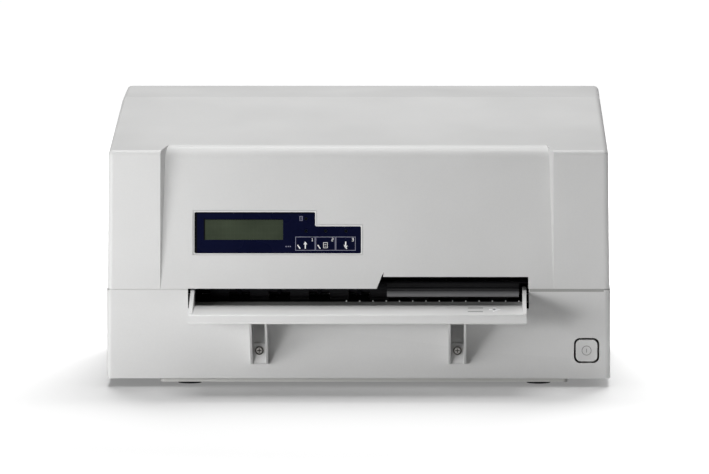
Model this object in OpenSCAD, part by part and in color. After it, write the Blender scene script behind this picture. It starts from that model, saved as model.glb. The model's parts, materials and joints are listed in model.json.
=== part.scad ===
// Flatbed dot matrix printer, as an assembly of separate pieces.
// +X is to the right seen from the front, +Y runs to the rear, +Z is up. Millimetres.
// The origin is the bottom centre of the whole printer, table and hinges included.
// Inside the modules y is measured back from the casing's front face (see at_front).

/* [Casing] */
// Width of the lower casing
body_w = 384; // [372:1:400]
// Depth of the casing, front face to rear wall
body_d = 276; // [272:1:290]
// Height of the lower casing
casing_h = 68; // [66:1:74]
// Thickness of the casing and cover walls
wall = 3; // [2.4:0.1:3.4]
// Radius of the upright corners
corner_r = 4; // [3.6:0.1:6]
// Height of the rubber feet under the base plate's rim
foot_h = 3; // [2:0.5:6]
// Height of the base plate's rim
rim_h = 3.4; // [3:0.1:6]

/* [Cover] */
// Height of the two pillars above the seam
pillar_h = 106; // [100:1:120]
// Rise of the sloped roof from the pillars to the flat rear roof
roof_rise = 25; // [16:1:30]
// Distance from the front to the crease between slope and flat roof
crease_d = 175; // [160:1:190]
// Width of the left pillar
left_pillar_w = 41; // [34:1:46]
// Width of the right pillar
right_pillar_w = 43; // [34:1:46]
// How far the centre panel is set back at its top
panel_lean = 12; // [8:0.5:14]
// Radius between the centre panel and the roof
panel_fillet = 12; // [8:0.5:16]
// Height of the slot window cut into the cover's lower edge
window_h = 9; // [6:0.5:12]

/* [Table] */
// Width of the front table
table_w = 256; // [250:1:262]
// How far the table reaches out in front of the casing
table_reach = 62; // [50:1:75]
// Height of the table's front lip
lip_h = 7.3; // [6:0.1:9]
// Distance between the two table brackets
bracket_gap = 151; // [120:1:180]

/* [Controls] */
// Width of the panel foil
foil_w = 129; // [126:1:136]
// Height of the panel foil
foil_h = 33.4; // [32:0.2:36]
// Width of the display window
lcd_w = 59.5; // [52:0.5:62]
// Height of the display window
lcd_h = 15.2; // [12:0.2:17]
// Side of the square power button
button_w = 16.5; // [14:0.5:18]
// Travel of the power button
button_travel = 3.5; // [2:0.5:4]

/* [Print mechanism] */
// Radius of the rubber sleeves on the feed shafts
feed_r = 8; // [7:0.5:9]
// Radius of the pinch rollers
pinch_r = 6; // [5:0.5:6.5]
// Radius of the front guide shaft
front_shaft_r = 5; // [4:0.5:6]
// Radius of the rear guide shaft
rear_shaft_r = 4; // [3:0.5:5]
// Teeth of each feed roller gear
roller_teeth = 60; // [58:2:62]
// Teeth of the feed motor's pinion
pinion_teeth = 20; // [18:1:22]

/* [Hidden] */
$fn = 48;

// Clearances
run_gap = 0.05;    // radial gap of a shaft that turns or slides in a bore
touch_gap = 0.3;   // gap between curved faces that nearly touch
fit_gap = 0.5;     // gap round a piece set into an opening
eps = 0.01;        // overshoot of a cut

// Heights of the main planes
plate_z = foot_h + rim_h;               // top of the base plate, foot of the casing
casing_top = plate_z + casing_h;        // top of the casing's outer skin
seam_gap = 0.8;                         // shadow line between casing and cover
seam_z = casing_top + seam_gap;         // where the cover rests on the casing's inner rim
pillar_top = seam_z + pillar_h;
roof_z = pillar_top + roof_rise;        // flat rear roof, the top of the printer
sheet_t = 1.2;                          // steel sheet
frame_t = 1.5;                          // steel of the side frames

// Hinge of the cover: its axis lies on the outer face of the rear wall, level with the seam
knuckle_r = 4.5;
hinge_pin_r = 2;
hinge_x = body_w / 2 - 40;
knuckle_w = 17;
ear_w = 6;
ear_gap = 0.4;
pin_head_t = 1.2;
pin_tail = 0.5;
hinge_half = knuckle_w / 2 + ear_gap + ear_w;   // from the middle of a hinge to an ear's outer face

front_y = (table_reach - body_d - knuckle_r) / 2;
module at_front() translate([0, front_y, 0]) children();

// Casing and cover outlines
floor_t = 2.5;
rim_t = wall / 2;                       // inner rim that carries the cover
cover_inset = 0.5;                      // the cover stands this much inside the casing's sides
side_lean = 1.1;                        // the cover's sides lean in by this much at the pillars' tops
roof_lean = 5.5;                        // and by this much at the crease of the roof
front_lean = 1;                         // the pillars lean back by this much
rear_lean = 1.5;
inner_slope = 0.3;                      // sideways slope of the pillars' inner faces

// Paper path
deck_t = 2.5;
lip_t = 3;
table_side_t = 3;
table_inside = 26;                      // how far the table runs in behind the casing's front
paper_z = casing_top - 12.1;            // top of the table and of the guide plates
table_gap = 2;                          // gap between the table's sides and the casing's opening
opening_w = table_w + 2 * table_gap;
rear_slot_w = 2 * (hinge_x - hinge_half - 12.1);
rear_slot_h = 8;
proud = 0.5;                            // the sleeves stand this much above the paper, the guides below it
guide_z = paper_z - proud;              // top of the lower guide plate
feed_y = [table_inside + 26, table_inside + 94];    // front and rear feed rollers
feed_z = paper_z + proud - feed_r;
feed_shaft_r = 3;
pinch_shaft_r = 2.5;
pinch_z = paper_z + proud + touch_gap + pinch_r;
sleeve_count = 8;
sleeve_pitch = (table_w - 11.2) / sleeve_count;
sleeve_w = 14.5;
upper_guide_z = paper_z + 14;
platen_y = (feed_y[0] + feed_y[1]) / 2; // the print line
platen_w = 8;

// Side frames and shafts
frame_x = body_w / 2 - 16;              // inner face of each side frame
frame_front = feed_y[0] - 12;
belt_y = feed_y[1] + 30;
frame_rear = belt_y + 26;
floor_z = plate_z + floor_t;
shaft_z = paper_z + 42;
shaft_y = [feed_y[0] + 4, feed_y[1]];
frame_top = shaft_z + 14;

// Carriage
column_pitch = 2.54;                    // ten characters to the inch
side_room = 145;                        // walls, frames and the two halves of the cassette
columns = floor((body_w - side_room) / column_pitch);
print_w = columns * column_pitch;
park_x = -print_w / 2;                  // the carriage rests at its left end
cassette_w = 100;
cassette_h = 12;
carriage_w = 64;
carriage_z = shaft_z - front_shaft_r - 4;
cassette_z = carriage_z - cassette_h;

// Belt drive
belt_z = shaft_z + 3;
belt_h = 6;
pulley_r = 8;
belt_t = 1.4;
pulley_x = frame_x - 22;
motor_w = 35;
bridge_z = shaft_z - 8;
bridge_y = [belt_y - 17, frame_rear];

// Feed drive, outside the right side frame
gear_module = 1;
gear_w = 7;
gear_x = frame_x + frame_t + 1;
roller_pitch_r = gear_module * roller_teeth / 2;
pinion_pitch_r = gear_module * pinion_teeth / 2;
mesh_gap = 0.1;                         // added to the gears' distance
mesh_d = roller_pitch_r + pinion_pitch_r + mesh_gap;
pinion_drop = sqrt(pow(mesh_d, 2) - pow((feed_y[1] - feed_y[0]) / 2, 2));
pinion_z = feed_z - pinion_drop;

// Colours
shell_colour = [0.83, 0.83, 0.81];
navy = [0.06, 0.07, 0.23];
steel = [0.68, 0.70, 0.72];
dark = [0.12, 0.12, 0.13];
rubber_colour = [0.16, 0.16, 0.16];
board_green = [0.10, 0.36, 0.20];

// ---------- shared shapes ----------

// Rectangle with round corners, of true arcs
module rounded_rect(w, d, r) {
    square([w - 2 * r, d], center = true);
    square([w, d - 2 * r], center = true);
    for (sx = [-1, 1], sy = [-1, 1])
        translate([sx * (w / 2 - r), sy * (d / 2 - r)]) circle(r);
}

// Cylinder along X that starts at x
module x_rod(x, length, r) translate([x, 0, 0]) rotate([0, 90, 0]) cylinder(h = length, r = r);

// Cylinder along Y, centred on the origin's axis, from y = 0 to the rear
module y_rod(length, r) rotate([-90, 0, 0]) cylinder(h = length, r = r);

// Outline in the plane of depth and height, drawn across X
module across(x0, length) translate([x0, 0, 0]) rotate([90, 0, 90]) linear_extrude(length) children();

// Outline in the plane of X and height, drawn back from y0
module back_from(y0, length) translate([0, y0 + length, 0]) rotate([90, 0, 0]) linear_extrude(length) children();

// ---------- gears ----------

function involute(base_r, a) = base_r * [cos(a) + a * PI / 180 * sin(a), sin(a) - a * PI / 180 * cos(a)];
function turned(p, a) = [p.x * cos(a) - p.y * sin(a), p.x * sin(a) + p.y * cos(a)];
// Roll angle at which an involute reaches radius r
function roll_at(base_r, r) = sqrt(max(0, pow(r / base_r, 2) - 1)) * 180 / PI;

// Spur gear outline with involute flanks; a tooth is centred on the first axis
module gear_outline(teeth, backlash = 0.12) {
    pitch_r = gear_module * teeth / 2;
    base_r = pitch_r * cos(20);
    tip_r = pitch_r + 0.9 * gear_module;
    root_r = pitch_r - 1.25 * gear_module;
    steps = 4;
    pitch_roll = roll_at(base_r, pitch_r);
    pitch_polar = atan2(involute(base_r, pitch_roll).y, involute(base_r, pitch_roll).x);
    half_tooth = 90 / teeth - backlash / 2 / pitch_r * 180 / PI;
    start_roll = roll_at(base_r, max(root_r + 0.1, base_r));
    end_roll = roll_at(base_r, tip_r);
    flank = [for (i = [0 : steps])
        turned(involute(base_r, start_roll + (end_roll - start_roll) * i / steps), -half_tooth - pitch_polar)];
    foot = turned([root_r, 0], atan2(flank[0].y, flank[0].x));
    lower = concat([foot], flank);
    upper = [for (i = [len(lower) - 1 : -1 : 0]) [lower[i].x, -lower[i].y]];
    polygon([for (t = [0 : teeth - 1]) for (p = concat(lower, upper)) turned(p, t * 360 / teeth)]);
}

// Gear along X with a hub and lightening holes, at depth y and height z, turned by phase
module x_gear(teeth, y, z, bore_r, phase) {
    pitch_r = gear_module * teeth / 2;
    translate([gear_x, y, z]) rotate([90, 0, 90]) rotate(phase) difference() {
        linear_extrude(gear_w) gear_outline(teeth);
        translate([0, 0, -eps]) cylinder(h = gear_w + 2 * eps, r = bore_r);
        if (pitch_r > 15) for (a = [0 : 60 : 300])
            rotate(a + 30) translate([pitch_r * 0.6, 0, -eps]) cylinder(h = gear_w + 2 * eps, r = pitch_r * 0.17);
    }
}

// The pinion drives both roller gears; each phase puts a tooth in a gap
toward_pinion_front = atan2(pinion_z - feed_z, platen_y - feed_y[0]);
toward_pinion_rear = atan2(pinion_z - feed_z, platen_y - feed_y[1]);
pinion_pitch_angle = 360 / pinion_teeth;
pinion_phase = toward_pinion_front + 180 - pinion_pitch_angle / 2;
rear_offset = (toward_pinion_rear + 180 - pinion_phase) / pinion_pitch_angle;
rear_gear_phase = toward_pinion_rear - (0.5 - rear_offset) * 360 / roller_teeth;

// ---------- casing ----------

plate_w = body_w - 73;
plate_shift = 4;
plate_inset = 7;
plate_slot = [6, 60];
plate_slot_pitch = 25;
foot_r = 9;
foot_inset = 22;

module base_plate() color(steel) at_front() translate([plate_shift, body_d / 2, foot_h]) difference() {
    linear_extrude(rim_h) rounded_rect(plate_w, body_d - 2 * plate_inset, corner_r);
    translate([0, 0, -eps]) linear_extrude(rim_h - sheet_t + eps)
        rounded_rect(plate_w - 2 * sheet_t, body_d - 2 * plate_inset - 2 * sheet_t, corner_r - sheet_t);
    for (i = [-4 : 4]) translate([i * plate_slot_pitch, plate_slot.y / 2, 0])
        linear_extrude(rim_h + eps) rounded_rect(plate_slot.x, plate_slot.y, plate_slot.x / 2 - 0.1);
}

module rubber_feet() color(rubber_colour) at_front() translate([plate_shift, body_d / 2, 0])
    for (sx = [-1, 1], sy = [-1, 1])
        translate([sx * (plate_w / 2 - foot_inset), sy * (body_d / 2 - plate_inset - foot_inset), 0])
            difference() {
                cylinder(h = plate_z - sheet_t, r = foot_r);
                translate([0, 0, -eps]) cylinder(h = 1.5, r = 3);
            }

button_x = body_w / 2 - 18;
button_z = plate_z + 21.5;
button_gap = 1.4;
button_round = 4;
bracket_screw_z = plate_z + 22;
screw_r = 1.5;

inlet_x = body_w / 2 - 64;
inlet_z = plate_z + 26;
inlet_w = 27;
inlet_h = 20;
parallel_w = 66;
parallel_x = -body_w / 2 + 74;
serial_w = 32;
serial_x = parallel_x + parallel_w;
socket_z = floor_z + 13;
socket_h = 14;

vent_w = 3.5;
vent_h = 30;
vent_pitch = 8;
vent_z = plate_z + 26;
module vent() rounded_rect(vent_w, vent_h, vent_w / 2 - 0.05);

// Ears or knuckle that go round the hinge axis: webs point down on the casing and up on the cover
module hinge_lug(x0, width, up) difference() {
    union() {
        translate([0, body_d, seam_z]) x_rod(x0, width, knuckle_r);
        across(x0, width) translate([body_d, seam_z]) scale([1, up ? 1 : -1])
            polygon([[-wall, 0], [knuckle_r, 0], [knuckle_r, 2], [0, 12], [-wall, 12]]);
    }
    translate([0, body_d, seam_z]) x_rod(x0 - 1, width + 2, hinge_pin_r + run_gap);
}

// Room in a rear wall for a whole hinge: knuckle, ears and pin head
module hinge_room() translate([0, body_d, seam_z])
    x_rod(-hinge_half - pin_head_t - touch_gap, 2 * (hinge_half + pin_head_t + touch_gap), knuckle_r + touch_gap);

module for_each_hinge() for (s = [-1, 1]) translate([s * hinge_x, 0, 0]) children();

module casing_skin(height, inset) translate([0, body_d / 2, 0]) linear_extrude(height)
    rounded_rect(body_w - 2 * inset, body_d - 2 * inset, max(corner_r - inset, 1));

module lower_casing() color(shell_colour) at_front() {
    difference() {
        union() {
            translate([0, 0, plate_z]) casing_skin(casing_h, 0);
            translate([0, 0, plate_z]) casing_skin(seam_z - plate_z, wall - rim_t);
        }
        translate([0, 0, floor_z]) casing_skin(casing_h, wall);
        // opening for the table
        back_from(-1, wall + 2) translate([-opening_w / 2, paper_z - deck_t]) square([opening_w, 40]);
        // rear paper slot
        back_from(body_d - wall - 1, wall + 2)
            translate([-rear_slot_w / 2, paper_z - 1]) square([rear_slot_w, rear_slot_h]);
        // hole for the power button
        back_from(-1, wall + 2) translate([button_x, button_z])
            rounded_rect(button_w + 2 * button_gap, button_w + 2 * button_gap, button_round + button_gap / 2);
        // bracket screws
        for (s = [-1, 1]) translate([s * bracket_gap / 2, -1, bracket_screw_z]) y_rod(wall + 2, screw_r + run_gap);
        // sockets and mains inlet
        back_from(body_d - wall - 1, wall + 2) {
            translate([inlet_x, inlet_z]) square([inlet_w + 2 * fit_gap, inlet_h + 2 * fit_gap], center = true);
            for (place = [[parallel_x, parallel_w], [serial_x, serial_w]]) translate([place[0], socket_z])
                square([place[1] + 2 * fit_gap, socket_h + 2 * fit_gap], center = true);
        }
        // vents in the rear wall and both sides
        for (i = [1 : 12]) back_from(body_d - wall - 1, wall + 2)
            translate([inlet_x - inlet_w + 6 - i * vent_pitch, vent_z]) vent();
        for (i = [0 : 10]) across(-body_w / 2 - 1, body_w + 2)
            translate([body_d - foot_inset - 4 - i * vent_pitch, vent_z]) vent();
        for_each_hinge() hinge_room();
    }
    for_each_hinge() for (x = [-hinge_half, hinge_half - ear_w]) hinge_lug(x, ear_w, false);
    // pedestal under the power switch
    translate([button_x - switch_w / 2, switch_y, floor_z - eps])
        cube([switch_w, switch_l, button_z - switch_h / 2 - floor_z + eps]);
    // bosses for the logic board
    for (x = board_holes_x, y = board_holes_y) translate([x, y, floor_z - eps]) difference() {
        cylinder(h = board_rise + eps, r = boss_r);
        translate([0, 0, 1]) cylinder(h = board_rise, r = pilot_r);
    }
}

module hinge_pins() color(steel) at_front() for_each_hinge() translate([0, body_d, seam_z]) {
    x_rod(-hinge_half - pin_tail, 2 * hinge_half + 2 * pin_tail, hinge_pin_r);
    x_rod(hinge_half, pin_head_t, hinge_pin_r + 1.2);
}

// ---------- front table ----------

lip_round = 1.2;
table_rib_t = 1.5;

// Side wall of the table: full height at the casing, falling to the lip
module table_side_outline() polygon([
    [-table_reach + 1.5, paper_z - deck_t], [-table_reach + 1.5, paper_z + 0.6], [-table_reach + 4, paper_z + 1.4],
    [-1, casing_top - 1.2], [1, casing_top - 0.4], [table_inside, casing_top - 0.4],
    [table_inside, paper_z - deck_t]
]);

module front_table() color(shell_colour) at_front() {
    across(-table_w / 2, table_w) {
        translate([-table_reach + lip_round, paper_z - deck_t])
            square([table_reach + table_inside - lip_round, deck_t]);
        translate([-table_reach + lip_round, paper_z - lip_h]) square([lip_t - lip_round, lip_h]);
        translate([-table_reach, paper_z - lip_h + lip_round]) square([lip_t, lip_h - 2 * lip_round]);
        for (z = [paper_z - lip_round, paper_z - lip_h + lip_round])
            translate([-table_reach + lip_round, z]) circle(lip_round);
    }
    for (x = [-table_w / 2, table_w / 2 - table_side_t]) across(x, table_side_t) table_side_outline();
    // ribs under the deck
    for (i = [-1 : 0.5 : 1]) across(i * (table_w / 2 - table_rib_t) - table_rib_t / 2, table_rib_t)
        polygon([[-table_reach + lip_t - eps, paper_z - lip_h + 0.5],
            [-table_reach + lip_t - eps, paper_z - deck_t + eps],
            [-2, paper_z - deck_t + eps], [-2, paper_z - deck_t - 1]]);
}

bracket_w = 13.6;
bracket_side_t = 1.8;
bracket_web_t = 1.6;
bracket_foot_z = plate_z + 11.5;
bracket_reach = table_reach - 12;
pad_h = 15;
pad_t = 2;

module table_brackets() color(shell_colour) at_front() for (s = [-1, 1])
    translate([s * bracket_gap / 2, 0, 0]) {
    bracket_top = paper_z - deck_t;
    difference() {
        union() {
            back_from(-bracket_web_t, bracket_web_t)
                translate([-bracket_w / 2, bracket_foot_z]) square([bracket_w, bracket_top - bracket_foot_z]);
            back_from(-bracket_web_t - pad_t, pad_t + eps)
                translate([-bracket_w / 2 + 1, bracket_foot_z + 1]) square([bracket_w - 2, pad_h]);
        }
        translate([0, -10, bracket_screw_z]) y_rod(20, screw_r + run_gap);
    }
    for (x = [-bracket_w / 2, bracket_w / 2 - bracket_side_t]) across(x, bracket_side_t)
        polygon([[0, bracket_foot_z], [-bracket_web_t - pad_t, bracket_foot_z],
            [-bracket_reach, bracket_top - 4], [-bracket_reach, bracket_top], [0, bracket_top]]);
}

screw_head_r = 3.4;
module bracket_screws() color(steel) at_front() for (s = [-1, 1])
    translate([s * bracket_gap / 2, -bracket_web_t - pad_t, bracket_screw_z]) difference() {
        union() {
            y_rod(bracket_web_t + pad_t + wall + 3, screw_r);
            translate([0, -1.9, 0]) y_rod(1.9, screw_head_r);
        }
        for (a = [0, 90]) rotate([0, a, 0]) translate([-1.9, -3, -0.4]) cube([3.8, 2.2, 0.8]);
    }

// ---------- upper cover ----------

slope_run = crease_d - front_lean - corner_r;
slope_angle = atan(roof_rise / slope_run);
panel_h = pillar_h - 4;
panel_set = 0.2;                        // the centre panel's foot lies this far behind the pillars
fillet_rise = 0.05;                     // the round's top stands this far above the roof, for a clean cut
lean_angle = atan(panel_lean / panel_h);

cover_fn = 24;                          // facets of the cover's round edges

// Envelope of the cover, t inside its outer skin
module cover_envelope(t) {
    r = max(corner_r - t, 1);
    half = body_w / 2 - cover_inset - t - r;
    hull() {
        for (s = [-1, 1]) {
            for (y = [t + r, body_d - t - r])
                translate([s * half, y, seam_z - (t > 0 ? 1 : 0)]) cylinder(h = 1, r = r, $fn = cover_fn);
            translate([s * (half - side_lean), t + front_lean + r, pillar_top - t - r]) sphere(r, $fn = cover_fn);
            for (y = [crease_d, body_d - rear_lean - t - r])
                translate([s * (half - roof_lean), y, roof_z - t - r]) sphere(r, $fn = cover_fn);
        }
    }
}

// Centre of the round between the leaning panel and the roof: it touches the panel and just cuts the roof
panel_foot = [panel_set, seam_z];
roof_point = [front_lean + corner_r - corner_r * sin(slope_angle),
    pillar_top - corner_r + corner_r * cos(slope_angle)];
panel_side = panel_fillet + panel_foot.x * cos(lean_angle) - panel_foot.y * sin(lean_angle);
roof_side = panel_fillet - fillet_rise + roof_point.x * sin(slope_angle) - roof_point.y * cos(slope_angle);
fillet_centre = [
    (panel_side * cos(slope_angle) - roof_side * sin(lean_angle)) / cos(lean_angle + slope_angle),
    (panel_side * sin(slope_angle) - roof_side * cos(lean_angle)) / cos(lean_angle + slope_angle)
];

// What the leaning panel cuts away in front of itself, t behind its outer face
module panel_cut(t) {
    steps = 10;
    from = 180 - lean_angle;
    to = 90 + slope_angle;
    arc = [for (i = [0 : steps]) fillet_centre + (panel_fillet - t)
        * [cos(from + (to - from) * i / steps), sin(from + (to - from) * i / steps)]];
    below = seam_z - 2;
    above = roof_z + 20;
    foot = [panel_set + t / cos(lean_angle) - (seam_z - below) * tan(lean_angle), below];
    x0 = -body_w / 2 + left_pillar_w - t;
    x1 = body_w / 2 - right_pillar_w + t;
    front = -20;
    rear = 60;
    intersection() {
        across(-body_w / 2, body_w)
            polygon(concat([[front, below], foot], arc, [[arc[steps].x, above], [front, above]]));
        linear_extrude(above) polygon([[x0 + front * inner_slope, front], [x1 - front * inner_slope, front],
            [x1 - rear * inner_slope, rear], [x0 + rear * inner_slope, rear]]);
    }
}

// Places children on the leaning panel: x across, z up along it, y into it
module on_panel() translate([0, panel_set, seam_z]) rotate([-lean_angle, 0, 0]) children();

foil_x0 = -body_w / 2 + left_pillar_w + 25;
foil_z0 = 26;
foil_t = 0.8;
foil_sink = 0.7;
foil_step_x = 35;                       // width of the lower right part of the foil
foil_step_h = 10.8;
lcd_x0 = foil_x0 + 9;
lcd_z0 = foil_z0 + 11.3;
key_x0 = foil_x0 + 78;
key_z0 = foil_z0 + 3.2;
key_w = 15;
key_h = 10.4;
key_pitch = 15.4;
key_travel = 0.4;
key_gap = 0.25;
led_r = 1.2;
led_places = [[foil_x0 + 86, foil_z0 + 27.4], [foil_x0 + 86, foil_z0 + 18], [foil_x0 + 101, foil_z0 + 18],
    [foil_x0 + 116.5, foil_z0 + 18]];

window_x0 = foil_x0 + foil_w + 10.5;
window_x1 = opening_w / 2 - 0.5;
window_slant = 0.46;                    // sideways lean of the window's left end
slit_h = 3.6;                           // relief slit above that end

// Outline of the foil, grown by g
module foil_outline(g) {
    translate([foil_x0 - g, foil_z0 - g]) square([foil_w + 2 * g, foil_h - foil_step_h + 2 * g]);
    translate([foil_x0 - g, foil_z0 - g]) square([foil_w - foil_step_x + 2 * g, foil_h + 2 * g]);
}

// Openings for the display, lenses and keys, each grown by g
module panel_openings(g) {
    translate([lcd_x0 - g, lcd_z0 - g]) square([lcd_w + 2 * g, lcd_h + 2 * g]);
    for (p = led_places) translate(p) circle(led_r + g);
    for (i = [0 : 2]) translate([key_x0 + i * key_pitch - g, key_z0 - g]) square([key_w + 2 * g, key_h + 2 * g]);
}

module upper_cover() color(shell_colour) at_front() {
    difference() {
        cover_envelope(0);
        panel_cut(0);
        difference() {
            cover_envelope(wall);
            panel_cut(wall);
        }
        // window in the lower edge, with its slanted end and relief slit
        back_from(-10, 30) {
            corner_x = window_x0 + window_h * window_slant;
            polygon([[window_x0, seam_z - 1], [window_x1, seam_z - 1], [window_x1, seam_z + window_h],
                [corner_x, seam_z + window_h]]);
            polygon([[corner_x - 0.6, seam_z + window_h - 1], [corner_x + 1, seam_z + window_h - 1],
                [corner_x + slit_h * window_slant, seam_z + window_h + slit_h]]);
        }
        // pocket for the foil and holes behind it
        on_panel() back_from(-5, 5 + foil_t + foil_sink) foil_outline(touch_gap);
        on_panel() back_from(-5, 20) panel_openings(touch_gap);
        for_each_hinge() hinge_room();
    }
    for_each_hinge() hinge_lug(-knuckle_w / 2, knuckle_w, true);
    // bosses that carry the panel board
    for (p = board_screws) on_panel() translate([p.x, foil_t + foil_sink + 1, p.y])
        y_rod(panel_board_y - foil_t - foil_sink - 1, boss_r - 1.5);
}

panel_board_y = 9;
panel_board_t = 1.6;
board_margin = 8;                       // the panel board reaches this far past the foil
screw_margin = 3.5;
board_screws = [[foil_x0 - screw_margin, foil_z0 - screw_margin],
    [foil_x0 + foil_w + screw_margin, foil_z0 - screw_margin],
    [foil_x0 - screw_margin, foil_z0 + foil_h + screw_margin],
    [foil_x0 + foil_w - foil_step_x + screw_margin + 1.5, foil_z0 + foil_h + screw_margin]];
boss_r = 4;
pilot_r = 1.2;

module panel_foil() color(navy) at_front() on_panel() back_from(foil_sink, foil_t) difference() {
    foil_outline(0);
    panel_openings(0.05);
    for (i = [0 : 2]) translate([key_x0 + i * key_pitch - key_gap, key_z0 - key_gap])
        square([key_w + 2 * key_gap, key_h + 2 * key_gap]);
}

glass_t = 1.2;
glass_sink = foil_sink + 0.1;           // glass and lenses lie just under the foil's face
module display_window() color([0.35, 0.40, 0.33]) at_front() on_panel()
    back_from(glass_sink, glass_t) translate([lcd_x0, lcd_z0]) square([lcd_w, lcd_h]);

module display_module() color(dark) at_front() on_panel()
    back_from(glass_sink + glass_t, panel_board_y - glass_sink - glass_t)
        translate([lcd_x0, lcd_z0]) square([lcd_w, lcd_h]);

module indicator_lenses() color([0.10, 0.16, 0.12]) at_front() on_panel() for (p = led_places)
    translate([p.x, glass_sink, p.y]) y_rod(panel_board_y - glass_sink, led_r);

module panel_board() color(board_green) at_front() on_panel()
    back_from(panel_board_y, panel_board_t) difference() {
    translate([foil_x0 - board_margin, foil_z0 - board_margin])
        square([foil_w + 2 * board_margin, foil_h + 2 * board_margin]);
    for (p = board_screws) translate(p) circle(pilot_r);
}

// Key: a cap flush with the foil, on a stem that stops short of the board by its travel
key_cap_t = 2;
module panel_key(i) color(navy) at_front() on_panel()
    translate([key_x0 + i * key_pitch + key_w / 2, 0, key_z0 + key_h / 2]) {
    back_from(foil_sink, key_cap_t) rounded_rect(key_w, key_h, 0.8);
    back_from(foil_sink + key_cap_t - eps, panel_board_y - foil_sink - key_cap_t - key_travel - 0.1) circle(2);
}

// ---------- power button and switch ----------

switch_y = 14;
switch_l = 20;
switch_w = 8;
switch_h = 14;
button_proud = 0.4;
dish_r = 80;                            // radius of the button's hollow face
dish_depth = 0.6;
stem_w = 5;
stem_grip = 4;                          // how far the stem sits in the switch

module power_button() color(shell_colour) at_front() translate([button_x, 0, button_z]) {
    difference() {
        back_from(-button_proud, wall + button_proud + 1) rounded_rect(button_w, button_w, button_round);
        translate([0, -button_proud - dish_r + dish_depth, 0]) sphere(dish_r, $fn = 96);
    }
    back_from(wall + 1 - eps, switch_y - wall - 1 + stem_grip) square([stem_w, stem_w], center = true);
}

module power_switch() color(dark) at_front() translate([button_x, 0, button_z]) difference() {
    back_from(switch_y, switch_l) square([switch_w, switch_h], center = true);
    back_from(switch_y - 1, stem_grip + button_travel + 1.5)
        square([stem_w + 2 * touch_gap, stem_w + 2 * touch_gap], center = true);
}

// ---------- frames, guides and shafts ----------

// Side frame from its inner face at x0: foot, notches, shaft holes and openings for the bushes
module side_frame(x0) {
    across(x0, frame_t) difference() {
        polygon([[frame_front, floor_z], [frame_rear + 20, floor_z], [frame_rear + 20, floor_z + 20],
            [frame_rear, floor_z + 34], [frame_rear, bridge_z + 8], [shaft_y[1] + 22, frame_top],
            [shaft_y[0] - 18, frame_top], [frame_front, frame_top - 16]]);
        translate([shaft_y[0], shaft_z]) circle(front_shaft_r + run_gap);
        translate([shaft_y[1], shaft_z]) circle(rear_shaft_r + run_gap);
        for (y = feed_y) translate([y, feed_z]) circle(bush_r);
        translate([platen_y, pinion_z]) circle(motor_boss_r + fit_gap);
        translate([platen_y, pinch_z + 14]) rounded_rect(30, 12, 5);
        translate([frame_rear - 14, floor_z + 24]) rounded_rect(16, 22, 5);
    }
    // turned-in foot
    translate([x0 > 0 ? x0 - frame_foot : x0 + frame_t - eps, frame_front + 8, floor_z])
        cube([frame_foot + eps, frame_rear - frame_front - 16, frame_t]);
}

frame_foot = 10;
bush_r = 6;
module left_side_frame() color(steel) at_front() side_frame(-frame_x - frame_t);
module right_side_frame() color(steel) at_front() side_frame(frame_x);

sleeve_x = [for (i = [0 : sleeve_count - 1]) (i - (sleeve_count - 1) / 2) * sleeve_pitch];
guide_front = table_inside + 0.3;
guide_rear = body_d - wall - 0.3;

// Windows in the guide plate that the sleeves come through
window_half = sqrt(pow(feed_r, 2) - pow(guide_z - sheet_t - feed_z, 2)) + 0.6;
module sleeve_windows(y) for (x = sleeve_x)
    translate([x - sleeve_w / 2 - 1, y - window_half, guide_z - sheet_t - 1])
        cube([sleeve_w + 2, 2 * window_half, sheet_t + 2]);

// Notches that clear the bush flanges at both ends of a feed shaft
module bush_notches(y) for (s = [-1, 1])
    translate([s * frame_x - 4, y - bush_r - 3, guide_z - sheet_t - 1]) cube([8, 2 * bush_r + 6, 4]);

module lower_guide_plate() color(dark) at_front() {
    difference() {
        translate([-frame_x, guide_front, guide_z - sheet_t])
            cube([2 * frame_x, platen_y - platen_w / 2 - guide_front, sheet_t]);
        sleeve_windows(feed_y[0]);
        bush_notches(feed_y[0]);
    }
    difference() {
        translate([-frame_x, platen_y + platen_w / 2, guide_z - sheet_t])
            cube([2 * frame_x, frame_rear - platen_y - platen_w / 2, sheet_t]);
        sleeve_windows(feed_y[1]);
        bush_notches(feed_y[1]);
    }
    // narrower chute to the rear slot
    translate([-rear_slot_w / 2, frame_rear - eps, guide_z - sheet_t])
        cube([rear_slot_w, guide_rear - frame_rear, sheet_t]);
    // stiffening lips turned down along both edges of the print line
    for (y = [platen_y - platen_w / 2 - sheet_t, platen_y + platen_w / 2])
        translate([-frame_x, y, guide_z - 8]) cube([2 * frame_x, sheet_t, 8 - sheet_t + eps]);
    // turned-down front lip with the alignment scale's ledge
    translate([-frame_x, guide_front, guide_z - 6]) cube([2 * frame_x, sheet_t, 6 - sheet_t + eps]);
}

platen_h = 10;
module platen_bar() color(steel) at_front()
    translate([-frame_x, platen_y - platen_w / 2 + 0.1, guide_z - platen_h])
        cube([2 * frame_x, platen_w - 0.2, platen_h]);

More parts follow.
